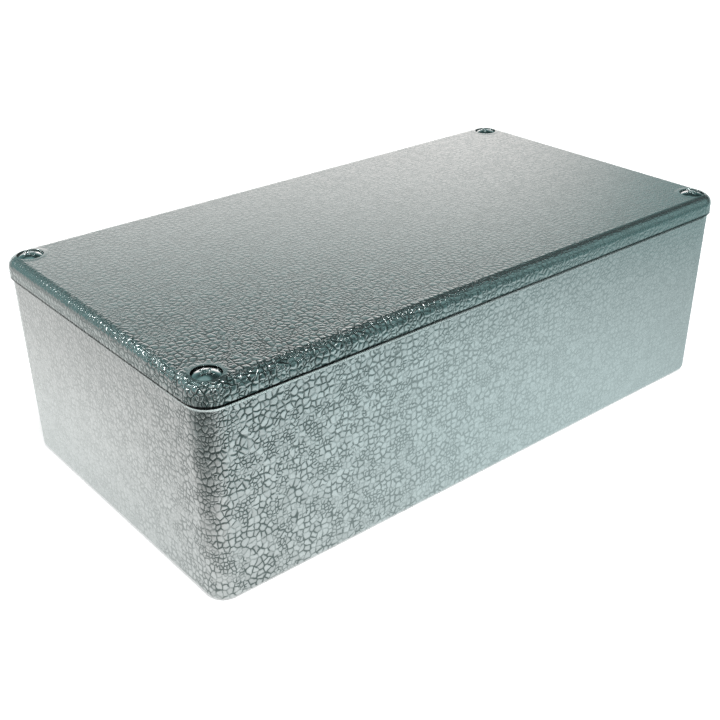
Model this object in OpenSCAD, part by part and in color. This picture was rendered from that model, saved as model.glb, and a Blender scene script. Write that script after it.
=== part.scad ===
// Die cast aluminium box: a drafted box with four screw pillars and board guides,
// and a flanged lid held by four raised countersunk screws.
// Millimetres. The origin is the middle of the underside, +X runs along the length, +Z is up.

/* [Overall size] */
// Length over the lid
lid_length = 150; // [125:1:200]
// Width over the lid
lid_width = 80.5; // [66:0.5:110]
// Height from the underside to the top of the lid
box_height = 48; // [38:1:70]

/* [Castings] */
// Radius of the lid's upright corners, at the joint line
corner_radius = 5.3; // [4.5:0.1:7]
// How far the lid stands out past the rim of the box
lid_overhang = 0.5; // [0.2:0.1:1]
// Draft of every cast wall, in degrees
draft = 1; // [0.5:0.25:1.5]
// Thickness of the walls at the rim
wall = 2.4; // [2:0.1:3]
// Thickness of the floor
floor_thickness = 2.4; // [2:0.1:4]
// Radius of the edge round the underside
base_edge = 1.2; // [0.6:0.1:2]
// Radius where the floor meets the walls inside
floor_fillet = 1.5; // [1:0.1:2]
// Radius of the edge round the rim of the box, at the joint line
rim_edge = 0.8; // [0.4:0.1:1]

/* [Lid] */
// Height of the lid's visible side
lid_side = 4.5; // [4:0.1:6]
// Radius of the edge round the lid's top
lid_edge = 2.3; // [1.5:0.1:3]
// Radius of the edge round the foot of the lid's side, at the joint line
lid_foot_edge = 0.3; // [0.2:0.05:0.5]
// Thickness of the lid inside its flange
lid_plate = 2; // [1.6:0.1:3]
// Width of the tongue that drops inside the walls
tongue_width = 1.5; // [1:0.1:2]
// Depth of the tongue below the joint line
tongue_depth = 1.8; // [1.2:0.1:3]
// Gap between the tongue and the walls, pillars and guides
tongue_clearance = 0.3; // [0.2:0.05:0.5]
// Radius where the tongue meets the underside of the lid
tongue_fillet = 0.8; // [0.5:0.1:1]

/* [Screws] */
// Distance of each screw from both sides of the lid
screw_inset = 5; // [4.8:0.1:6]
// Nominal diameter of the thread
thread_d = 3; // [2.5:0.5:3]
// Length from the rim of the head to the tip
screw_length = 12; // [9:1:16]
// Diameter of the head
head_d = 5.3; // [5:0.1:5.6]
// Height of the dome above the rim of the head
head_dome = 0.7; // [0.4:0.1:0.9]
// Height of the upright band round the head
head_band = 0.3; // [0.15:0.05:0.4]
// Depth of the head's rim below the top of the lid
head_sink = 0.4; // [0.2:0.1:0.6]
// Gap round the band of the head where it is sunk in the lid
sink_gap = 0.25; // [0.1:0.05:0.4]
// Play between head and seat, and between thread and tapped hole
screw_play = 0.05; // [0.03:0.01:0.08]
// Diameter of the clearance hole through the lid
through_d = 3.5; // [3.3:0.1:3.8]
// Radius of the pillars at the joint line
pillar_radius = 3.6; // [3.4:0.1:4.5]
// Thread tapped below the screw's tip
spare_thread = 4; // [2:1:8]
// How far the mouth of a tapped hole is opened to lead the screw in
tap_lead = 0.4; // [0.2:0.1:0.6]

/* [Board guides] */
// Gap that takes the edge of a circuit board
slot_gap = 1.8; // [1.2:0.1:2.4]
// Width of the rib on each side of a slot
rib_width = 1.3; // [1:0.1:2]
// How far a rib stands out from its wall
rib_depth = 1.3; // [0.8:0.1:2]
// Distance between slots along the long walls
long_pitch = 15; // [10:1:30]
// Distance between slots along the short walls
short_pitch = 20; // [10:1:30]
// Bevel on both shoulders of a rib's top, which leads a board into its slot
rib_bevel = 0.4; // [0.2:0.1:0.6]

/* [Hidden] */
$fn = 96;
past = 1;

// Levels
rim_z = box_height - lid_side;
tongue_z = rim_z - tongue_depth;
pocket_z = box_height - lid_plate;
head_z = box_height - head_sink;
tip_z = head_z - screw_length;
rib_top = tongue_z - tongue_clearance;

// Outlines at the joint line
rim_length = lid_length - 2 * lid_overhang;
rim_width = lid_width - 2 * lid_overhang;
rim_corner = corner_radius - lid_overhang;
cavity_length = rim_length - 2 * wall;
cavity_width = rim_width - 2 * wall;

// Screws
screw_x = lid_length / 2 - screw_inset;
screw_y = lid_width / 2 - screw_inset;
head_r = head_d / 2;
thread_r = thread_d / 2;
through_r = through_d / 2;
sink_r = head_r + sink_gap;
tap_r = thread_r + screw_play;
drill_point = 59;
tip_chamfer = 0.4;

// Cross recess in each head, and how far each screw was turned when it was driven home
recess_reach = 1.45;
recess_foot = 0.5;
recess_wing = 0.6;
recess_depth = 1.5;
recess_core = 0.85;
turn_front_left = 20;
turn_front_right = 65;
turn_back_left = 5;
turn_back_right = 38;

// Least distance from a pillar to the nearest rib
guide_margin = 2;

// Ejector pin marks, and their distance from both sides of the lid
mark_r = 2.5;
mark_depth = 0.2;
mark_inset = 16;

casting_colour = [0.62, 0.68, 0.68];
screw_colour = [0.78, 0.78, 0.76];

function unit(v) = v / norm(v);

// A closed outline through [x, y, radius] corners, all convex, each rounded by a true arc.
module soft_outline(corners) {
    n = len(corners);
    function at(i) = [corners[(i + n) % n][0], corners[(i + n) % n][1]];
    difference() {
        polygon([for (i = [0 : n - 1]) at(i)]);
        for (i = [0 : n - 1]) if (corners[i][2] > 0) {
            radius = corners[i][2];
            back = unit(at(i - 1) - at(i));
            ahead = unit(at(i + 1) - at(i));
            half = acos(back * ahead) / 2;
            difference() {
                polygon([at(i), at(i) + back * radius / tan(half), at(i) + ahead * radius / tan(half)]);
                translate(at(i) + unit(back + ahead) * radius / sin(half)) circle(radius);
            }
        }
    }
}

// The half section of a drafted block. reach is its width at the height called level,
// and a positive slope makes it widen upwards.
module drafted_section(reach, low, high, slope = draft, low_edge = 0, high_edge = 0) {
    function wide(z) = reach + (z - rim_z) * tan(slope);
    soft_outline([
        [0, low, 0],
        [wide(low), low, low_edge],
        [wide(high), high, high_edge],
        [0, high, 0]
    ]);
}

// Carries a half section round a rounded rectangle and fills the middle.
// x = 0 in the section is the line of corner centres, and y is the height.
module block(length, width, corner, low, high) {
    core_x = length / 2 - corner;
    core_y = width / 2 - corner;
    for (turn = [0, 180]) rotate(turn) {
        translate([core_x, core_y, 0]) rotate([90, 0, 0]) linear_extrude(2 * core_y) children();
        translate([-core_x, core_y, 0]) rotate([90, 0, 90]) linear_extrude(2 * core_x) children();
        translate([core_x, core_y, 0]) rotate_extrude(angle = 90) children();
        translate([-core_x, core_y, 0]) rotate([0, 0, 90]) rotate_extrude(angle = 90) children();
    }
    translate([-core_x, -core_y, low]) cube([2 * core_x, 2 * core_y, high - low]);
}

// Copies to the four screws, each turned so that +X and +Y point out of the box.
module at_corners() {
    for (turn = [0, 180]) rotate(turn) {
        translate([screw_x, screw_y, 0]) children();
        mirror([1, 0, 0]) translate([screw_x, screw_y, 0]) children();
    }
}

// The space of one pillar, or of what fits round it with a gap: a round post that
// runs out into both walls.
module pillar(low, high, gap = 0) {
    function wide(z) = pillar_radius + gap + (rim_z - z) * tan(draft);
    flank = [[-wide(low), low], [wide(low), low], [wide(high), high], [-wide(high), high]];
    translate([0, 0, low]) cylinder(h = high - low, r1 = wide(low), r2 = wide(high));
    rotate([90, 0, 90]) linear_extrude(screw_inset) polygon(flank);
    rotate([90, 0, 180]) linear_extrude(screw_inset) polygon(flank);
}

// Upright slabs across the box, in pairs with a board slot between them.
module slot_slabs(free_half, pitch, across) {
    each_way = floor(free_half / pitch);
    half = rib_width / 2;
    for (i = [-each_way : each_way], side = [-1, 1])
        translate([i * pitch + side * (slot_gap + rib_width) / 2, 0, 0])
            rotate([90, 0, 0]) linear_extrude(across, center = true) polygon([
                [-half, 0],
                [half, 0],
                [half, rib_top - rib_bevel],
                [half - rib_bevel, rib_top],
                [rib_bevel - half, rib_top],
                [-half, rib_top - rib_bevel]
            ]);
}

module board_guides() {
    beside_pillar = pillar_radius + guide_margin + rib_width + slot_gap / 2;
    difference() {
        union() {
            slot_slabs(screw_x - beside_pillar, long_pitch, rim_width);
            rotate(90) slot_slabs(screw_y - beside_pillar, short_pitch, rim_length);
        }
        block(cavity_length - 2 * rib_depth, cavity_width - 2 * rib_depth, pillar_radius, 0, rim_z)
            drafted_section(pillar_radius, 0, rim_z);
    }
}

// Shallow round marks where pins pushed the casting out of its die.
module ejector_marks(z) {
    for (x = [-1, 1], y = [-1, 1])
        translate([x * (lid_length / 2 - mark_inset), y * (lid_width / 2 - mark_inset), z - mark_depth])
            cylinder(r = mark_r, h = 2 * mark_depth);
}

module cavity() {
    difference() {
        block(cavity_length, cavity_width, pillar_radius, floor_thickness, rim_z + past)
            drafted_section(pillar_radius, floor_thickness, rim_z + past, low_edge = floor_fillet);
        at_corners() pillar(floor_thickness - past, rim_z);
        board_guides();
    }
    ejector_marks(floor_thickness);
}

module tapped_hole() {
    bottom = tip_z - spare_thread;
    rotate_extrude() polygon([
        [0, bottom - tap_r / tan(drill_point)],
        [tap_r, bottom],
        [tap_r, rim_z - tap_lead],
        [tap_r + tap_lead + past, rim_z + past],
        [0, rim_z + past]
    ]);
}

module box() {
    color(casting_colour) difference() {
        block(rim_length, rim_width, rim_corner, 0, rim_z)
            drafted_section(rim_corner, 0, rim_z, low_edge = base_edge, high_edge = rim_edge);
        cavity();
        at_corners() tapped_hole();
    }
}

// The tongue: it follows the walls and steps round the pillars.
module tongue() {
    difference() {
        block(cavity_length - 2 * tongue_clearance, cavity_width - 2 * tongue_clearance,
              pillar_radius, tongue_z, rim_z)
            drafted_section(pillar_radius, tongue_z, rim_z);
        at_corners() pillar(tongue_z - past, rim_z, tongue_clearance);
    }
}

// The pocket under the lid: it leaves the flange, the tongue and a thick pad at each screw.
module pocket() {
    inset = tongue_clearance + tongue_width;
    difference() {
        block(cavity_length - 2 * inset, cavity_width - 2 * inset, pillar_radius,
              tongue_z - past, pocket_z)
            drafted_section(pillar_radius, tongue_z - past, pocket_z, -draft,
                            high_edge = tongue_fillet);
        at_corners() pillar(tongue_z - 2 * past, box_height, inset);
    }
    ejector_marks(pocket_z);
}

// A clearance hole with a seat parallel to the underside of the screw's head.
module countersunk_hole() {
    function seat(r) = head_z - head_band - (head_r - r) - screw_play * sqrt(2);
    rotate_extrude() polygon([
        [0, tongue_z - past],
        [through_r, tongue_z - past],
        [through_r, seat(through_r)],
        [sink_r, seat(sink_r)],
        [sink_r, box_height + past],
        [0, box_height + past]
    ]);
}

module lid() {
    color(casting_colour) difference() {
        union() {
            block(lid_length, lid_width, corner_radius, rim_z, box_height)
                drafted_section(corner_radius, rim_z, box_height, -draft,
                                low_edge = lid_foot_edge, high_edge = lid_edge);
            tongue();
        }
        pocket();
        at_corners() countersunk_hole();
    }
}

// One wing of the cross recess, narrowing to its foot.
module recess_blade() {
    top = head_dome + past;
    grow = (recess_reach - recess_foot) / recess_depth;
    wide = recess_foot + grow * (recess_depth - head_dome + top);
    rotate([90, 0, 0]) linear_extrude(recess_wing, center = true) polygon([
        [-recess_foot, head_dome - recess_depth],
        [recess_foot, head_dome - recess_depth],
        [wide, top],
        [-wide, top]
    ]);
}

module raised_screw(turn) {
    dome_r = (head_r * head_r + head_dome * head_dome) / (2 * head_dome);
    neck = -head_band - (head_r - thread_r);
    color(screw_colour) translate([0, 0, head_z]) rotate(turn) difference() {
        union() {
            rotate_extrude() polygon([
                [0, -screw_length],
                [thread_r - tip_chamfer, -screw_length],
                [thread_r, tip_chamfer - screw_length],
                [thread_r, neck],
                [head_r, -head_band],
                [head_r, 0],
                [0, 0]
            ]);
            intersection() {
                translate([0, 0, head_dome - dome_r]) sphere(dome_r);
                cylinder(r = head_r, h = 2 * head_dome);
            }
        }
        recess_blade();
        rotate(90) recess_blade();
        translate([0, 0, head_dome - recess_depth])
            cylinder(r1 = recess_foot, r2 = recess_core, h = recess_depth);
    }
}

module screw(x, y, turn) {
    translate([x * screw_x, y * screw_y, 0]) raised_screw(turn);
}

box();
lid();
screw(-1, -1, turn_front_left);  // screw_front_left
screw(1, -1, turn_front_right);  // screw_front_right
screw(-1, 1, turn_back_left);  // screw_back_left
screw(1, 1, turn_back_right);  // screw_back_right
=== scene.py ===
import math

import bmesh
import bpy
from bpy.props import FloatProperty, FloatVectorProperty, IntProperty, PointerProperty
from mathutils import Matrix, Vector


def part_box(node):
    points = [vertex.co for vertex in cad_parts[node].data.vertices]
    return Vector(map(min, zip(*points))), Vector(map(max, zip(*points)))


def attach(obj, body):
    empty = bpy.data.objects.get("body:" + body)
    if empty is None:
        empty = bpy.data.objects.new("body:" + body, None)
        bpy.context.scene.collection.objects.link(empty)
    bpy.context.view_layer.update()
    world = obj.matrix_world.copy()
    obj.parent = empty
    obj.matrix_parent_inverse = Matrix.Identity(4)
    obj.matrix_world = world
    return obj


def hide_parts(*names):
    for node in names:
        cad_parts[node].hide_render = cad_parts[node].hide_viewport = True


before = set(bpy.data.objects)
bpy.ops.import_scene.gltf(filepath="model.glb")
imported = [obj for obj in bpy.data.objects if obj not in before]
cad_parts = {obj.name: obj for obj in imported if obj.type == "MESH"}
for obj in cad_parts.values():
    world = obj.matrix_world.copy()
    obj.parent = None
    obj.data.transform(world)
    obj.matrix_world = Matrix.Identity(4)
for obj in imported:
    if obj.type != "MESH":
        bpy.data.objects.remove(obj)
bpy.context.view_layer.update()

bl_info = {
    "name": "Die Cast Box",
    "version": (1, 0, 0),
    "blender": (4, 5, 0),
    "location": "View3D > Sidebar > Cast Box",
    "description": "Finishes a die cast box: hammered paint, bare castings, screws and a studio",
    "category": "Object",
}

MM = 0.001
SCREW_TURNS = {"screw_front_left": 20.0, "screw_front_right": 65.0,
               "screw_back_left": 5.0, "screw_back_right": 38.0}
SCREWS = tuple(SCREW_TURNS)

# Places and sizes that the castings and screws already have, in millimetres.
LID_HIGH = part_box("lid")[1] / MM
BOX_LOW, BOX_HIGH = (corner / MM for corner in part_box("box"))
RIM_Z = BOX_HIGH.z
LID_TOP = LID_HIGH.z
SCREW_BOXES = {name: [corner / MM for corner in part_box(name)] for name in SCREWS}
RIGHT_SCREW = SCREW_BOXES["screw_back_right"]
SCREW_X = (RIGHT_SCREW[0].x + RIGHT_SCREW[1].x) / 2
SCREW_Y = (RIGHT_SCREW[0].y + RIGHT_SCREW[1].y) / 2
HEAD_R = (RIGHT_SCREW[1].x - RIGHT_SCREW[0].x) / 2
TIP_Z = RIGHT_SCREW[0].z
HEAD_RIM = LID_TOP - 0.4
BOX_CORNER, LID_CORNER = 4.8, 5.3
UNDERSIDE = 0.35
SPARE_THREAD = 3.9

WHITE = (1.0, 1.0, 1.0, 1.0)
# Near black painted shade for the seam under the lid and the walls of the countersinks.
PAINTED_SHADE_BLACK = (0.01, 0.012, 0.012)
# Light that the floor adds where the camera sees it, near the box and more of it far out.
FLOOR_GLOW, FAR_GLOW = 0.28, 0.30
# The even light that dull surfaces see.
EVEN_LIGHT = 0.62


# ---------------------------------------------------------------- sizes and colours

def length(name, description, default):
    """A size in millimetres."""
    return FloatProperty(name=name, description=description, default=default, min=0.0)


def share(name, description, default):
    """A number from 0 to 1."""
    return FloatProperty(name=name, description=description, default=default,
                         min=0.0, max=1.0, subtype="FACTOR")


def colour(name, description, default):
    """A colour, as the light that it reflects."""
    return FloatVectorProperty(name=name, description=description, default=default,
                               size=3, min=0.0, max=1.0, subtype="COLOR")


class PaintSettings(bpy.types.PropertyGroup):
    cell: length("Cell size", "Usual width of one hammered cell, in mm", 1.42)
    bubble: length("Bubble size", "Usual width of the small bubbles between the cells, in mm", 0.90)
    swirl: length("Swirl", "How far the outlines of the cells wander, in mm", 0.15)
    vein: length("Vein width", "Width of the line round a cell, in mm", 0.26)
    dome: length("Cell height", "How far a cell stands above its outline, in mm", 0.045)
    groove: length("Groove", "Depth of the line round a cell, in mm", 0.05)
    cell_colour: colour("Cell colour", "Colour of the paint inside a cell", (0.70, 0.735, 0.73))
    vein_colour: colour("Vein colour", "Colour of the line round a cell", (0.10, 0.135, 0.13))
    metal: share("Metal flake", "How metallic the paint looks", 0.98)
    rough: share("Roughness", "How much the paint spreads a highlight", 0.22)


class CastingSettings(bpy.types.PropertyGroup):
    metal_colour: colour("Bare metal", "Colour of the casting where it has no paint", (0.56, 0.56, 0.55))
    grain: length("Grain", "Width of the grain of the cast surface, in mm", 0.35)
    overspray: length("Overspray", "How far the paint reaches down inside the rim, in mm", 9.0)
    wall: length("Wall", "Thickness of the walls, in mm", 2.4)
    draft: FloatProperty(name="Draft", description="Draft of the cast walls",
                         default=math.radians(1.0), subtype="ANGLE")


class ScrewSettings(bpy.types.PropertyGroup):
    pitch: length("Thread pitch", "Distance between two turns of the thread, in mm", 0.5)
    major: length("Thread diameter", "Diameter over the thread, in mm", 3.0)
    root: length("Root diameter", "Diameter at the bottom of the thread, in mm", 2.42)
    dome: length("Dome", "Height of the dome above the rim of the head, in mm", 0.7)
    band: length("Band", "Height of the upright band round the head, in mm", 0.3)
    reach: length("Recess reach", "From the middle of the head to the end of a wing, in mm", 1.45)
    foot: length("Recess foot", "Radius of the bottom of the recess, in mm", 0.5)
    core: length("Recess core", "Radius of the round middle of the recess, in mm", 0.85)
    wing: length("Wing width", "Width of one wing of the recess, in mm", 0.6)
    depth: length("Recess depth", "Depth of the recess below the dome, in mm", 1.5)
    around: IntProperty(name="Points round", description="Points round the screw", default=64, min=32)
    plate_colour: colour("Plating", "Colour of the plated steel", (0.84, 0.87, 0.87))


class StageSettings(bpy.types.PropertyGroup):
    lens: FloatProperty(name="Lens", description="Focal length on a 36 mm wide sensor, in mm", default=55.25)
    azimuth: FloatProperty(name="Camera azimuth", description="Turn of the camera round the box",
                           default=math.radians(-39.33), subtype="ANGLE")
    elevation: FloatProperty(name="Camera elevation", description="Height of the camera above the horizon",
                             default=math.radians(28.11), subtype="ANGLE")
    roll: FloatProperty(name="Camera roll", description="Roll of the camera about its own axis",
                        default=math.radians(-0.68), subtype="ANGLE")
    eye: FloatVectorProperty(name="Camera place", description="Place of the camera, in mm",
                             default=(-156.1, -182.5, 140.1), size=3)
    floor_colour: colour("Floor", "Colour of the floor", (0.85, 0.85, 0.85))


# ---------------------------------------------------------------- shader maths

class Wire:
    """One output in a node tree. Sums, products and powers of wires and numbers add Math nodes."""

    def __init__(self, bench, socket):
        self.bench, self.socket = bench, socket

    def __add__(self, other):
        return self.bench.maths("ADD", self, other)

    def __sub__(self, other):
        return self.bench.maths("SUBTRACT", self, other)

    def __rsub__(self, other):
        return self.bench.maths("SUBTRACT", other, self)

    def __mul__(self, other):
        return self.bench.maths("MULTIPLY", self, other)

    def __truediv__(self, other):
        return self.bench.maths("DIVIDE", self, other)

    def __rtruediv__(self, other):
        return self.bench.maths("DIVIDE", other, self)

    def __pow__(self, other):
        return self.bench.maths("POWER", self, other)

    def __abs__(self):
        return self.bench.maths("ABSOLUTE", self)

    __radd__ = __add__
    __rmul__ = __mul__


class Bench:
    """Builds the nodes of one material or world."""

    def __init__(self, holder):
        holder.use_nodes = True
        self.tree = holder.node_tree
        self.tree.nodes.clear()

    def node(self, kind, settings, sockets, result=0):
        """Adds a node: its settings first, then the values or wires of its sockets. Returns one output."""
        made = self.tree.nodes.new(kind)
        for name, value in settings.items():
            setattr(made, name, value)
        for name, value in sockets.items():
            into = made.inputs[name] if isinstance(name, int) else next(
                s for s in made.inputs if name in (s.identifier, s.name))
            if isinstance(value, Wire):
                self.tree.links.new(value.socket, into)
            else:
                into.default_value = value
        outputs = [s for s in made.outputs if result in (s.identifier, s.name)]
        if isinstance(result, int) and result < len(made.outputs):
            outputs = [made.outputs[result]]
        return Wire(self, outputs[0]) if outputs else None

    def maths(self, operation, *values):
        return self.node("ShaderNodeMath", {"operation": operation}, dict(enumerate(values)))

    def vector(self, operation, *values, result=0):
        return self.node("ShaderNodeVectorMath", {"operation": operation}, dict(enumerate(values)), result)

    def scaled(self, vector, factor):
        return self.node("ShaderNodeVectorMath", {"operation": "SCALE"}, {0: vector, "Scale": factor})

    def step(self, value, low, high):
        """0 below low and 1 above high, with a soft step between. low may be the larger."""
        return self.node("ShaderNodeMapRange", {"interpolation_type": "SMOOTHSTEP"},
                         {"Value": value, "From Min": low, "From Max": high}, "Result")

    def blend(self, factor, first, second):
        """A colour between two colours."""
        return self.node("ShaderNodeMix", {"data_type": "RGBA"},
                         {"Factor_Float": factor, "A_Color": opaque(first), "B_Color": opaque(second)},
                         "Result_Color")

    def tinted(self, first, second):
        """One colour times another."""
        return self.node("ShaderNodeMix", {"data_type": "RGBA", "blend_type": "MULTIPLY"},
                         {"Factor_Float": 1.0, "A_Color": opaque(first), "B_Color": opaque(second)},
                         "Result_Color")

    def noise(self, place, width, detail=1.0, rough=0.5, result="Fac"):
        """Noise whose patches are about width millimetres across."""
        return self.node("ShaderNodeTexNoise", {}, {"Vector": place, "Scale": 1.0 / width,
                                                    "Detail": detail, "Roughness": rough}, result)

    def cells(self, place, width, feature, result="Distance"):
        """Flat cells about width millimetres across."""
        return self.node("ShaderNodeTexVoronoi", {"feature": feature, "voronoi_dimensions": "2D"},
                         {"Vector": place, "Scale": 1.0 / width, "Randomness": 0.75}, result)

    def grey(self, level):
        """A grey from one wire."""
        return self.node("ShaderNodeCombineColor", {}, {0: level, 1: level, 2: level})

    def joined(self, x, y):
        """A vector from two wires."""
        return self.node("ShaderNodeCombineXYZ", {}, {0: x, 1: y})

    def place(self):
        """The place on the piece in millimetres."""
        own = self.node("ShaderNodeTexCoord", {}, {}, "Object")
        return self.scaled(own, 1.0 / MM)


def opaque(value):
    return value if isinstance(value, Wire) else (*value, 1.0)


def material(name):
    made = bpy.data.materials.new(name)
    return made, Bench(made)


def surface(bench, sockets):
    """Puts a Principled shader with these sockets on the output."""
    shader = bench.node("ShaderNodeBsdfPrincipled", {}, sockets)
    bench.node("ShaderNodeOutputMaterial", {}, {"Surface": shader})


# ---------------------------------------------------------------- paint and bare casting

def from_side(bench, x, y, z, half, corner, lean):
    """Distance in millimetres from the outer side of a drafted, rounded casting, below 0 inside it,
    and the way straight out of that side."""
    grow = (z - RIM_Z) * lean
    over_x = abs(x) - (half[0] - corner) - grow
    over_y = abs(y) - (half[1] - corner) - grow
    out_x = bench.maths("MAXIMUM", over_x, 0.0)
    out_y = bench.maths("MAXIMUM", over_y, 0.0)
    inner = bench.maths("MINIMUM", bench.maths("MAXIMUM", over_x, over_y), 0.0)
    outward = bench.vector("NORMALIZE", bench.joined(
        out_x * bench.maths("SIGN", x), out_y * bench.maths("SIGN", y)))
    return (out_x * out_x + out_y * out_y) ** 0.5 + inner - corner, outward


def unrolled(bench, x, y, z, outward, is_lid):
    """The painted surface laid out flat, in millimetres: the lid with its sides folded up, the box
    as a band round its sides, and the underside as it lies."""
    flat = bench.joined(x, y)
    if is_lid:
        return bench.vector("ADD", flat, bench.scaled(outward, LID_TOP - z))
    along = y - BOX_LOW.y
    band = bench.joined(x + along * bench.maths("SIGN", x + along * 0.9), z + 200.0)
    below = bench.maths("LESS_THAN", z, UNDERSIDE)
    return bench.node("ShaderNodeMix", {"data_type": "VECTOR"},
                      {"Factor_Float": below, "A_Vector": band, "B_Vector": flat}, "Result_Vector")


def hammered(bench, place, sheet, paint, calm, bold, relief):
    """Colour, roughness and height in millimetres of hammered paint. sheet is the surface laid out
    flat, calm is 1 where the paint lies smooth, bold is how strongly the cells show, and relief
    scales their height."""
    wander = bench.noise(place, 1.1, 0.0, 0.5, "Color")
    drift = bench.scaled(bench.vector("SUBTRACT", wander, (0.5, 0.5, 0.5)), paint.swirl * 4.0)
    swirled = bench.vector("ADD", sheet, drift)
    bubbly = bench.step(bench.noise(place, 3.4, 1.0), 0.53, 0.57)
    strength = 0.42 + bench.step(bench.noise(place, 2.2, 2.0), 0.36, 0.58) * 0.58
    soft = 1.0 + (1.0 - bold) * 0.9
    veins, humps, tones = [], [], []
    for width in (paint.cell, paint.bubble):
        radius = bench.cells(swirled, width, "F1")
        edge = bench.cells(swirled, width, "DISTANCE_TO_EDGE") * width
        line = 1.0 - bench.maths("MINIMUM", edge / (soft * paint.vein * math.sqrt(width / paint.cell)), 1.0)
        between = bench.step(radius, 0.56, 0.82)
        veins.append(bench.maths("MAXIMUM", line, between * 0.85))
        humps.append(bench.step(edge, 0.0, width * 0.36) * (1.0 - between * 0.6) * width / paint.cell)
        own_colour = bench.cells(swirled, width, "F1", "Color")
        tones.append(bench.node("ShaderNodeSeparateXYZ", {}, {0: own_colour}, "X"))
    vein = (veins[0] + (veins[1] - veins[0]) * bubbly) * strength * (1.0 - calm)
    hump = humps[0] + (humps[1] - humps[0]) * bubbly
    own_tone = tones[0] + (tones[1] - tones[0]) * bubbly

    tone = bench.noise(place, 9.0, 2.0)
    flake = bench.noise(place, 0.22, 1.0)
    light = 0.92 + tone * 0.10 + (flake - 0.5) * (0.04 + bold * 0.12) + (own_tone - 0.5) * bold * 0.24
    body = bench.tinted(paint.cell_colour, bench.grey(light))
    # Painted shade: each cell darkens towards its outline so that it looks domed.
    painted_dome_shade = (1.0 - hump) * (1.0 - calm) * strength * 0.30
    shade = bench.blend(bench.maths("MAXIMUM", bench.step(vein, 0.0, 0.80), painted_dome_shade) * bold, body,
                        paint.vein_colour)
    rough = paint.rough + vein * 0.12 + (flake - 0.5) * 0.06
    height = (hump * paint.dome - vein * paint.groove) * (1.0 - calm * 0.85) * relief
    return shade, rough, height


def bare(bench, place, casting):
    """Colour, roughness and height in millimetres of bare die cast aluminium."""
    grain = bench.noise(place, casting.grain, 3.0, 0.6)
    flow = bench.noise(bench.vector("MULTIPLY", place, (0.35, 1.0, 1.0)), 7.0, 3.0, 0.6)
    light = 0.80 + flow * 0.30 + (grain - 0.5) * 0.16
    shade = bench.tinted(casting.metal_colour, bench.grey(light))
    rough = 0.38 + flow * 0.16 + (grain - 0.5) * 0.12
    height = grain * 0.02 + flow * 0.03
    return shade, rough, height


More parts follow.
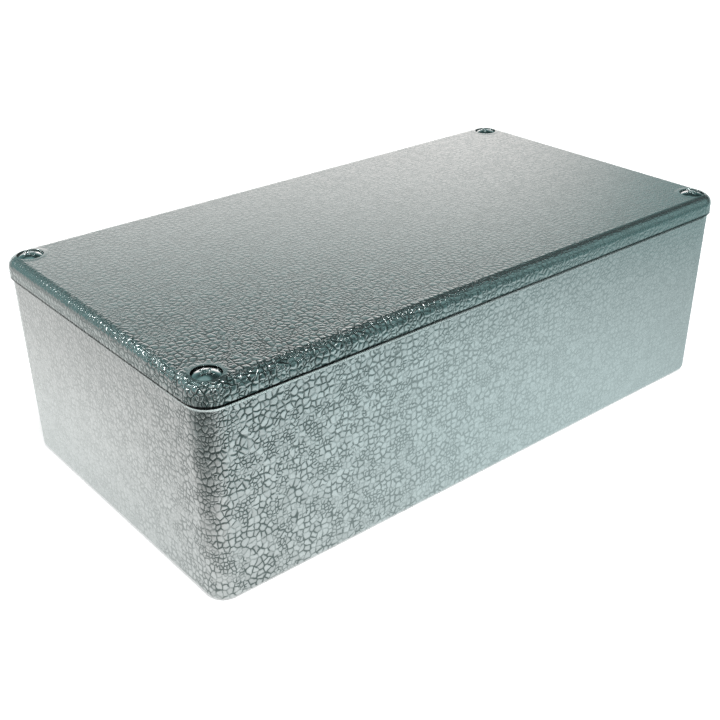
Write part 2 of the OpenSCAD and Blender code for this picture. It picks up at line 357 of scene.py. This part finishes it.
def casting_finish(name, shift, outside, is_lid):
    """Hammered paint outside, bare metal inside and a speckled edge of overspray between them, with painted
    shade in the seam and the countersinks and a painted highlight on the box's rim.
    """
    scene = bpy.context.scene
    paint, casting = scene.cast_box_paint, scene.cast_box_casting
    made, bench = material(name)
    true_place = bench.place()
    place = bench.vector("ADD", true_place, shift)
    x, y, z = (bench.node("ShaderNodeSeparateXYZ", {}, {0: true_place}, axis) for axis in "XYZ")
    lean = math.tan(casting.draft) * (-1.0 if is_lid else 1.0)
    depth, outward = from_side(bench, x, y, z, outside[0:2], outside[2], lean)
    fleck = bench.noise(place, 0.9, 3.0, 0.65)

    hole = bench.maths("SQRT", (abs(x) - SCREW_X) ** 2.0 + (abs(y) - SCREW_Y) ** 2.0)
    if is_lid:
        inside = bench.step(depth, -casting.wall + 0.1, -casting.wall - 0.1)
        low = bench.step(z, LID_TOP - 1.4, LID_TOP - 1.9)
        uncoated = inside * low * bench.step(z + (fleck - 0.5) * 9.0, RIM_Z - 2.6, RIM_Z + 0.6)
        pool = bench.step(hole, 4.2, 3.1) * bench.step(z, LID_TOP - 0.2, LID_TOP - 0.05)
        calm = pool
        lip = pool * 0.35
        edge = bench.step(depth, -2.9, -1.3)
        beyond = bench.step(z, LID_TOP - 1.0, LID_TOP - 2.0)
        # Painted shade on the wall of each countersink, strongest on the front left screw.
        painted_sink_shade = bench.step(z, LID_TOP - 0.03, LID_TOP - 0.25) * bench.step(hole, 3.4, 3.2)
        painted_sink_shade = painted_sink_shade * (0.15 + bench.step(x + y, -60.0, -90.0) * 0.70)
        fall, power = 26.0, 1.6
    else:
        inside = bench.step(depth, -casting.wall * 0.6, -casting.wall * 0.7)
        reach = RIM_Z - casting.overspray
        speckled = bench.step(z + (fleck - 0.5) * 22.0, reach + 8.0, reach - 4.0)
        uncoated = inside * speckled * bench.step(z, 1.0, 1.4)
        calm = bench.step(z, RIM_Z - 1.1, RIM_Z - 0.7)
        lip = calm * 0.0
        edge, beyond, painted_sink_shade = 1.0, 1.0, 0.0
        fall, power = 12.0, 1.1

    # The cells show most at the front left corner, fade away from it, and return on the far sides.
    bold = 1.0 / ((1.0 + (bench.maths("MAXIMUM", x + 75.0, 0.0) / 58.0) ** 2.2)
                  * (1.0 + (bench.maths("MAXIMUM", y + 40.0, 0.0) / fall) ** power))
    far_side = bench.maths("MAXIMUM", bench.step(x, 73.0, 74.6), bench.step(y, 38.0, 39.6)) * beyond
    bold = bold + bench.maths("MAXIMUM", 0.7 - bold, 0.0) * far_side
    relief = (0.08 + bold * 1.05) * (0.45 + edge) if is_lid else (0.18 + bold * 0.85) * 0.75
    sheet = unrolled(bench, x, y, z, outward, is_lid)
    paint_shade, paint_rough, paint_height = hammered(
        bench, place, sheet, paint, calm, bold, relief)
    metal_shade, metal_rough, metal_height = bare(bench, place, casting)
    if is_lid:
        painted_gap_shade = bench.step(z, RIM_Z + 0.46, RIM_Z + 0.26)
        band = bench.step(z, LID_TOP - 1.8, LID_TOP - 2.6) * (1.0 - inside)
        paint_shade = bench.tinted(paint_shade, bench.blend(band, (1.0, 1.0, 1.0), (0.85, 0.90, 0.895)))
    else:
        painted_gap_shade = bench.step(z, RIM_Z - 0.60, RIM_Z - 0.45)
    # Painted shade: a near black line along the seam, on the lid's foot and on the box's rim, fainter away
    # from the front left corner.
    painted_gap_shade = painted_gap_shade * bench.step(depth, -casting.wall, -casting.wall + 0.4) * (0.5 + bold * 0.5)
    painted_gap_shade = bench.maths("MAXIMUM", painted_gap_shade, painted_sink_shade)
    # Painted highlight: a pale, less metallic stripe on the box's rounded rim under the seam, strongest at
    # the front left corner.
    painted_rim_highlight = calm * (1.0 - painted_gap_shade) * (1.0 - uncoated) * bold * (0.0 if is_lid else 1.0)
    paint_shade = bench.blend(painted_rim_highlight, paint_shade, (0.88, 1.0, 0.98))
    shade = bench.blend(painted_gap_shade, bench.blend(uncoated, paint_shade, metal_shade), PAINTED_SHADE_BLACK)
    rough = paint_rough + (metal_rough - paint_rough) * uncoated
    height = paint_height + (metal_height - paint_height) * uncoated + lip * 0.10
    bumped = bench.node("ShaderNodeBump", {}, {"Height": height, "Distance": MM, "Strength": 1.0})
    surface(bench, {
        "Base Color": shade,
        "Roughness": rough,
        "Metallic": paint.metal - painted_rim_highlight * 0.75 + uncoated * (0.95 - paint.metal),
        "Normal": bumped,
    })
    return made


def plating():
    """Bright zinc plate with fine grain, with painted shade in the recess, darkest on the front left screw.
    """
    screws = bpy.context.scene.cast_box_screws
    made, bench = material("plated_screw_finish")
    place = bench.place()
    x, y, z = (bench.node("ShaderNodeSeparateXYZ", {}, {0: place}, axis) for axis in "XYZ")
    grain = bench.noise(place, 0.12, 3.0, 0.6)
    film = bench.noise(place, 1.4, 2.0)
    top = HEAD_RIM + screws.dome
    head = bench.step(z, top - 3.2, top - 1.6)
    sunk = bench.step(z, top - 0.75, top - 1.15) * bench.step(z, top - 2.2, top - 1.6)
    filmed = bench.blend(bench.step(film, 0.35, 0.65), screws.plate_colour, (0.70, 0.75, 0.745))
    # How strong the recess's painted shade is: most on the front left screw, less on the others.
    recess_shade_strength = 0.55 + bench.step(x + y, -60.0, -90.0) * 0.38
    shade = bench.blend(sunk * recess_shade_strength, filmed, (0.02, 0.022, 0.022))
    rough = 0.10 + grain * 0.12 + (1.0 - head) * 0.12 + sunk * 0.30
    bumped = bench.node("ShaderNodeBump", {}, {"Height": grain * 0.006, "Distance": MM, "Strength": 1.0})
    surface(bench, {"Base Color": shade, "Roughness": rough, "Metallic": 1.0, "Normal": bumped})
    return made


# ---------------------------------------------------------------- meshes of rings

def rings_to_mesh(name, rings, closed_start, closed_end):
    """Skins a list of rings, each with the same number of points, and closes its ends with a fan."""
    work = bmesh.new()
    made = [[work.verts.new(point) for point in ring] for ring in rings]
    count = len(rings[0])
    for upper, lower in zip(made, made[1:]):
        for i in range(count):
            j = (i + 1) % count
            work.faces.new((upper[i], lower[i], lower[j], upper[j]))
    for ring, wanted, turned in ((made[0], closed_start, True), (made[-1], closed_end, False)):
        if wanted:
            middle = work.verts.new(sum((v.co for v in ring), Vector()) / count)
            for i in range(count):
                corners = (middle, ring[i], ring[(i + 1) % count])
                work.faces.new(corners if turned else corners[::-1])
    bmesh.ops.remove_doubles(work, verts=work.verts, dist=0.0004 * MM)
    bmesh.ops.dissolve_degenerate(work, edges=work.edges, dist=0.0004 * MM)
    mesh = bpy.data.meshes.new(name)
    work.to_mesh(mesh)
    work.free()
    mesh.shade_smooth()
    mesh.set_sharp_from_angle(angle=math.radians(38.0))
    made_object = bpy.data.objects.new(name, mesh)
    bpy.context.scene.collection.objects.link(made_object)
    return made_object


def thread_rings(top, bottom, start, pitch, crest, root, around, fade_top, tip=None):
    """Rings of a right hand helix from top to bottom, with a crest at the height start.
    fade_top is how far the groove takes to reach its full depth."""
    profile = ((0.0, crest), (0.06, crest), (0.10, crest - (crest - root) * 0.08), (0.42, root),
               (0.58, root), (0.90, crest - (crest - root) * 0.08), (0.94, crest))
    rings = []
    first = math.floor((start - top) / pitch)
    turns = math.ceil((top - bottom) / pitch) + 1
    for turn in range(first, first + turns + 1):
        for part, radius in profile:
            ring = []
            for i in range(around):
                at = i / around
                z = start + (at - turn - part) * pitch
                held = min(max(z, bottom), top)
                full = min(max((top - held) / fade_top, 0.0), 1.0)
                full = min(full, max((held - bottom) / (0.3 * pitch), 0.0))
                r = crest + (radius - crest) * full
                if tip is not None:
                    r = min(r, tip + held - bottom)
                ring.append(Vector((r * math.cos(math.tau * at), r * math.sin(math.tau * at), held)))
            rings.append(ring)
    return rings


def cross_outline(reach, core, half_wing, quarter):
    """A cross with a round middle: quarter points in each quarter turn."""
    inner = math.sqrt(max(core * core - half_wing * half_wing, 1e-6))
    start = math.atan2(half_wing, inner)
    tip_points = 2
    side_points = 3
    arc_points = quarter - 2 * (tip_points + side_points)
    first = [(reach, half_wing * 0.8 * i / tip_points) for i in range(tip_points)]
    first += [(reach + (inner - reach) * i / side_points, half_wing) for i in range(side_points)]
    first[tip_points] = (reach - half_wing * 0.12, half_wing * 0.97)
    arc = [start + (math.pi / 2 - 2 * start) * i / (arc_points - 1) for i in range(arc_points)]
    middle = [(core * math.cos(a), core * math.sin(a)) for a in arc]
    second = [(y, x) for x, y in reversed(first)][:tip_points + side_points]
    points = first + middle + second
    turned = []
    for k in range(4):
        c, s = ((1, 0), (0, 1), (-1, 0), (0, -1))[k]
        turned += [(c * x - s * y, s * x + c * y) for x, y in points[:quarter]]
    return turned


def shank(sizes):
    """Radius of the thread's crest, height of the neck under the head and height where the thread
    starts."""
    crest = sizes.major / 2.0 - 0.01
    neck = HEAD_RIM - sizes.band - (HEAD_R - crest)
    return crest, neck, neck - 0.06


def screw_rings(sizes):
    """Rings of one raised countersunk screw from the foot of its recess to its tip, about its own axis."""
    around = sizes.around
    quarter = around // 4
    rim = HEAD_RIM
    ball = (HEAD_R ** 2 + sizes.dome ** 2) / (2.0 * sizes.dome)

    def dome_z(radius):
        return rim + sizes.dome - ball + math.sqrt(max(ball ** 2 - radius ** 2, 0.0))

    foot_z = rim + sizes.dome - sizes.depth
    rings = [[Vector((0.55 * x, 0.55 * y, foot_z - 0.12)) for x, y in
              cross_outline(sizes.foot, sizes.foot * 0.98, sizes.wing * 0.42, quarter)]]
    for level in (1.0, 0.9, 0.72, 0.52, 0.34, 0.18, 0.07, 0.025, 0.0):
        reach = sizes.reach + (sizes.foot - sizes.reach) * level
        core = sizes.core + (sizes.foot - sizes.core) * level
        half = sizes.wing * (0.5 - 0.06 * level)
        lip = {0.0: 0.06, 0.025: 0.02}.get(level, 0.0)
        ring = []
        for x, y in cross_outline(reach + lip, core + lip, half + lip, quarter):
            top = dome_z(math.hypot(x, y))
            ring.append(Vector((x, y, top + (foot_z - top) * level)))
        rings.append(ring)
    outline = rings[-1]
    last = HEAD_R - 0.09
    for out in (0.12, 0.3, 0.5, 0.72, 0.88, 1.0):
        ring = []
        for i, point in enumerate(outline):
            start = math.atan2(point.y, point.x) % math.tau
            goal = math.tau * i / around
            turn = (goal - start + math.pi) % math.tau - math.pi
            angle = start + turn * out
            radius = math.hypot(point.x, point.y)
            radius += (last - radius) * out
            ring.append(Vector((radius * math.cos(angle), radius * math.sin(angle), dome_z(radius))))
        rings.append(ring)

    def circle(radius, z):
        turns = (math.tau * i / around for i in range(around))
        return [Vector((radius * math.cos(turn), radius * math.sin(turn), z)) for turn in turns]

    cone_top = rim - sizes.band
    crest, neck, start = shank(sizes)
    rings += [circle(HEAD_R - 0.03, rim + 0.03), circle(HEAD_R, rim - 0.03),
              circle(HEAD_R, cone_top + 0.03), circle(HEAD_R - 0.03, cone_top - 0.03)]
    rings += [circle(crest + 0.16, neck + 0.17), circle(crest + 0.04, neck + 0.02), circle(crest, start)]
    rings += thread_rings(start, TIP_Z, start, sizes.pitch, crest, sizes.root / 2.0, around, 0.7,
                          sizes.major / 2.0 - 0.4)
    return rings


def at_screw(name, rings):
    """The same rings about the axis of one screw, turned as that screw is, in metres."""
    low, high = SCREW_BOXES[name]
    middle = Vector(((low.x + high.x) / 2.0, (low.y + high.y) / 2.0, 0.0))
    spin = Matrix.Rotation(math.radians(SCREW_TURNS[name]), 3, "Z")
    return [[(spin @ point + middle) * MM for point in ring] for ring in rings]


# ---------------------------------------------------------------- operators

class CASTBOX_OT_box(bpy.types.Operator):
    """Paints the box and leaves its inside bare"""
    bl_idname = "cast_box.box"
    bl_label = "Finish the box"

    def execute(self, context):
        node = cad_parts["box"]
        node.data.materials.clear()
        node.data.materials.append(casting_finish(
            "box_finish", (0.0, 0.0, 0.0), (BOX_HIGH.x, BOX_HIGH.y, BOX_CORNER), False))
        return {"FINISHED"}


class CASTBOX_OT_lid(bpy.types.Operator):
    """Paints the lid and leaves its underside bare"""
    bl_idname = "cast_box.lid"
    bl_label = "Finish the lid"

    def execute(self, context):
        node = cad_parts["lid"]
        node.data.materials.clear()
        node.data.materials.append(casting_finish(
            "lid_finish", (41.0, 17.0, 9.0), (LID_HIGH.x, LID_HIGH.y, LID_CORNER), True))
        return {"FINISHED"}


class CASTBOX_OT_screws(bpy.types.Operator):
    """Makes four raised countersunk screws with a cross recess and a cut thread"""
    bl_idname = "cast_box.screws"
    bl_label = "Make the screws"

    def execute(self, context):
        sizes = context.scene.cast_box_screws
        finish = plating()
        rings = screw_rings(sizes)
        for name in SCREWS:
            piece = rings_to_mesh("cut_" + name, at_screw(name, rings), True, True)
            piece.data.materials.append(finish)
            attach(piece, name[len("screw_"):] + "_screw")
            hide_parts(name)
        return {"FINISHED"}


class CASTBOX_OT_threads(bpy.types.Operator):
    """Cuts the threads in the four pillars of the box"""
    bl_idname = "cast_box.threads"
    bl_label = "Cut the pillar threads"

    def execute(self, context):
        casting = context.scene.cast_box_casting
        sizes = context.scene.cast_box_screws
        made, bench = material("cut_aluminium")
        shade, rough, height = bare(bench, bench.place(), casting)
        bumped = bench.node("ShaderNodeBump", {}, {"Height": height * 0.3, "Distance": MM, "Strength": 1.0})
        surface(bench, {"Base Color": shade, "Roughness": rough - 0.15, "Metallic": 1.0, "Normal": bumped})
        outer = sizes.major / 2.0 + 0.035
        rings = [ring[::-1] for ring in thread_rings(
            RIM_Z - 0.42, TIP_Z - SPARE_THREAD, shank(sizes)[2], sizes.pitch, outer, outer - 0.26,
            48, 0.4)]
        for name in SCREWS:
            piece = rings_to_mesh("thread_" + name[len("screw_"):], at_screw(name, rings), False, False)
            piece.data.materials.append(made)
            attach(piece, "base")
        return {"FINISHED"}


class CASTBOX_OT_stage(bpy.types.Operator):
    """Sets up the floor, the studio light and the camera"""
    bl_idname = "cast_box.stage"
    bl_label = "Set the stage"

    def execute(self, context):
        scene = context.scene
        settings = scene.cast_box_stage
        scene.view_settings.view_transform = "Standard"
        self.floor(settings)
        self.surroundings(scene)
        self.lamp("soft_lamp", self.heading(-100.0, 70.0), 1500.0, 900.0, 22.0, False)
        self.lamp("right_lamp", self.heading(-72.0, 66.0), 1000.0, 140.0, 0.8, True)
        self.lamp("left_lamp", self.heading(136.0, 43.0), 1000.0, 140.0, 0.8, True)
        self.camera(scene, settings)
        return {"FINISHED"}

    def floor(self, settings):
        work = bmesh.new()
        bmesh.ops.create_circle(work, cap_ends=True, segments=96, radius=12.0)
        mesh = bpy.data.meshes.new("floor")
        work.to_mesh(mesh)
        work.free()
        floor = bpy.data.objects.new("floor", mesh)
        bpy.context.scene.collection.objects.link(floor)
        floor.location.z = -0.02 * MM
        made, bench = material("floor_finish")
        place = bench.place()
        x, y = (bench.node("ShaderNodeSeparateXYZ", {}, {0: place}, axis) for axis in "XY")
        # What shiny surfaces see of the floor: bright near the box, dim far out in front of it.
        near = bench.step(y, -176.0, -76.0) * (1.0 - bench.step(x, 10.0, 200.0) * 0.62)
        near = near * bench.step(x * -0.65 + y * -0.76, 184.0, 84.0)
        left = bench.step(x, -150.0, -85.0)
        beyond = bench.step(x, -75.0, -110.0) * bench.step(y, -60.0, 40.0)
        behind = bench.step(y, 60.0, 170.0) * bench.step(x, -130.0, -60.0)
        beside = bench.step(x, 60.0, 200.0)
        path_camera = bench.node("ShaderNodeLightPath", {}, {}, "Is Camera Ray")
        path_glossy = bench.node("ShaderNodeLightPath", {}, {}, "Is Glossy Ray")
        lit = bench.node("ShaderNodeBsdfDiffuse", {}, {"Color": opaque(settings.floor_colour)})
        far = bench.step((x * x + y * y) ** 0.5, 260.0, 900.0)
        glow = bench.node("ShaderNodeEmission", {}, {"Color": WHITE, "Strength": FLOOR_GLOW + far * FAR_GLOW})
        seen = bench.node("ShaderNodeAddShader", {}, {0: lit, 1: glow})
        close = bench.step(x, -106.0, -78.0)
        shore = bench.step(x, -125.0, -85.0) * bench.step(y, -45.0, 60.0) * 0.20
        near = shore + near * (0.24 + left * 0.58 + close * 0.44) + beyond * (0.28 + close * 0.26)
        shine = 0.08 + near * 0.59 + behind * 0.45 + beside * 0.10
        side = bench.step(x, -120.0, 10.0)
        dim = bench.blend(side, (0.84, 1.0, 0.98), (0.42, 1.0, 1.0))
        bright = bench.blend(side, (1.03, 1.0, 0.985), (0.85, 1.0, 1.01))
        tint = bench.blend(bench.step(shine, 0.08, 0.62), dim, bright)
        mirror = bench.node("ShaderNodeEmission", {}, {"Color": tint, "Strength": shine})
        first = bench.node("ShaderNodeMixShader", {}, {0: path_camera, 1: lit, 2: seen})
        both = bench.node("ShaderNodeMixShader", {}, {0: path_glossy, 1: first, 2: mirror})
        bench.node("ShaderNodeOutputMaterial", {}, {"Surface": both})
        mesh.materials.append(made)

    def surroundings(self, scene):
        world = bpy.data.worlds.new("studio")
        scene.world = world
        bench = Bench(world)
        way = bench.node("ShaderNodeTexCoord", {}, {}, "Generated")
        up = bench.node("ShaderNodeSeparateXYZ", {}, {0: way}, "Z")
        flat = (1.0 - up * up) ** 0.5
        toward = bench.vector("DOT_PRODUCT", way, self.heading(56.5, 0.0), result="Value") / flat
        front_right = bench.vector("DOT_PRODUCT", way, self.heading(-42.0, 26.0), result="Value")
        left = bench.vector("DOT_PRODUCT", way, self.heading(150.0, 10.0), result="Value")
        above = bench.vector("DOT_PRODUCT", way, self.heading(-110.0, 52.0), result="Value")
        dip = bench.vector("DOT_PRODUCT", way, self.heading(-80.0, 3.0), result="Value")
        front_left = bench.vector("DOT_PRODUCT", way, self.heading(-140.0, 22.0), result="Value")
        overhead = bench.vector("DOT_PRODUCT", way, self.heading(100.0, 76.0), result="Value")
        # What shiny surfaces see of the room: a bright wall at the back right, soft panels at the
        # other sides, above the front and overhead, and a dark patch low in front.
        panel = bench.step(toward, 0.91, 0.985) * bench.step(up, 0.42, 0.24)
        horizon = bench.step(toward, 0.62, 0.92) * bench.step(up, 0.22, 0.06)
        haze = bench.step(toward, 0.66, 0.98) * bench.step(up, 0.72, 0.30)
        level = (0.035 + bench.maths("MAXIMUM", panel, horizon) * 1.17 + haze * 0.26
                 + bench.step(left, 0.3, 0.95) * 0.24 + bench.step(front_right, 0.84, 0.985) * 0.26
                 + bench.step(above, 0.84, 0.97) * 0.46 + bench.step(front_left, 0.84, 0.97) * 0.5
                 + bench.step(overhead, 0.90, 0.985) * 0.32) * (1.0 - bench.step(dip, 0.78, 0.96) * 0.7)
        tint = bench.blend(bench.step(level, 0.12, 0.8), (0.50, 1.0, 1.0), (1.02, 0.95, 0.935))
        glossy = bench.node("ShaderNodeBackground", {}, {"Color": tint, "Strength": level})
        plain = bench.node("ShaderNodeBackground", {}, {"Color": WHITE, "Strength": EVEN_LIGHT})
        white = bench.node("ShaderNodeBackground", {}, {"Color": WHITE, "Strength": 1.0})
        path_camera = bench.node("ShaderNodeLightPath", {}, {}, "Is Camera Ray")
        path_glossy = bench.node("ShaderNodeLightPath", {}, {}, "Is Glossy Ray")
        first = bench.node("ShaderNodeMixShader", {}, {0: path_glossy, 1: plain, 2: glossy})
        both = bench.node("ShaderNodeMixShader", {}, {0: path_camera, 1: first, 2: white})
        bench.node("ShaderNodeOutputWorld", {}, {"Surface": both})

    def heading(self, azimuth, elevation):
        """A direction: azimuth is counted from +X towards +Y, in degrees."""
        a, e = math.radians(azimuth), math.radians(elevation)
        return (math.cos(a) * math.cos(e), math.sin(a) * math.cos(e), math.sin(e))

    def lamp(self, name, way, distance, size, power, mirrored):
        """A round lamp aimed at the box. mirrored says whether shiny surfaces show it."""
        light = bpy.data.lights.new(name, "AREA")
        light.shape, light.size, light.energy = "DISK", size * MM, power
        lamp = bpy.data.objects.new(name, light)
        bpy.context.scene.collection.objects.link(lamp)
        lamp.location = Vector(way) * distance * MM
        lamp.rotation_euler = (-Vector(way)).to_track_quat("-Z", "Y").to_euler()
        lamp.visible_glossy = mirrored

    def camera(self, scene, settings):
        a, e, roll = settings.azimuth, settings.elevation, settings.roll
        right = Vector((math.cos(a), math.sin(a), 0.0))
        back = Vector((math.sin(a) * math.cos(e), -math.cos(a) * math.cos(e), math.sin(e)))
        up = back.cross(right)
        turned_right = right * math.cos(roll) + up * math.sin(roll)
        turned_up = up * math.cos(roll) - right * math.sin(roll)
        camera = bpy.data.objects.new("camera", bpy.data.cameras.new("camera"))
        scene.collection.objects.link(camera)
        camera.matrix_world = Matrix.Translation(Vector(settings.eye) * MM) @ Matrix(
            (turned_right, turned_up, back)).transposed().to_4x4()
        camera.data.lens = settings.lens
        camera.data.sensor_width = 36.0
        camera.data.clip_start, camera.data.clip_end = 0.005, 50.0
        scene.camera = camera


class CASTBOX_PT_panel(bpy.types.Panel):
    """Lists the steps of the cast box"""
    bl_idname = "CASTBOX_PT_panel"
    bl_label = "Cast Box"
    bl_space_type = "VIEW_3D"
    bl_region_type = "UI"
    bl_category = "Cast Box"

    def draw(self, context):
        for step in STEPS:
            self.layout.operator(step.bl_idname)


SETTINGS = {
    "cast_box_paint": PaintSettings,
    "cast_box_casting": CastingSettings,
    "cast_box_screws": ScrewSettings,
    "cast_box_stage": StageSettings,
}
STEPS = (CASTBOX_OT_box, CASTBOX_OT_lid, CASTBOX_OT_screws, CASTBOX_OT_threads, CASTBOX_OT_stage)


def register():
    for made in (*SETTINGS.values(), *STEPS, CASTBOX_PT_panel):
        bpy.utils.register_class(made)
    for name, group in SETTINGS.items():
        setattr(bpy.types.Scene, name, PointerProperty(type=group))


def unregister():
    for name in SETTINGS:
        delattr(bpy.types.Scene, name)
    for made in (CASTBOX_PT_panel, *reversed(STEPS), *SETTINGS.values()):
        bpy.utils.unregister_class(made)


def main():
    register()
    bpy.ops.cast_box.box()
    bpy.ops.cast_box.lid()
    bpy.ops.cast_box.screws()
    bpy.ops.cast_box.threads()
    bpy.ops.cast_box.stage()


if __name__ == "__main__":
    main()
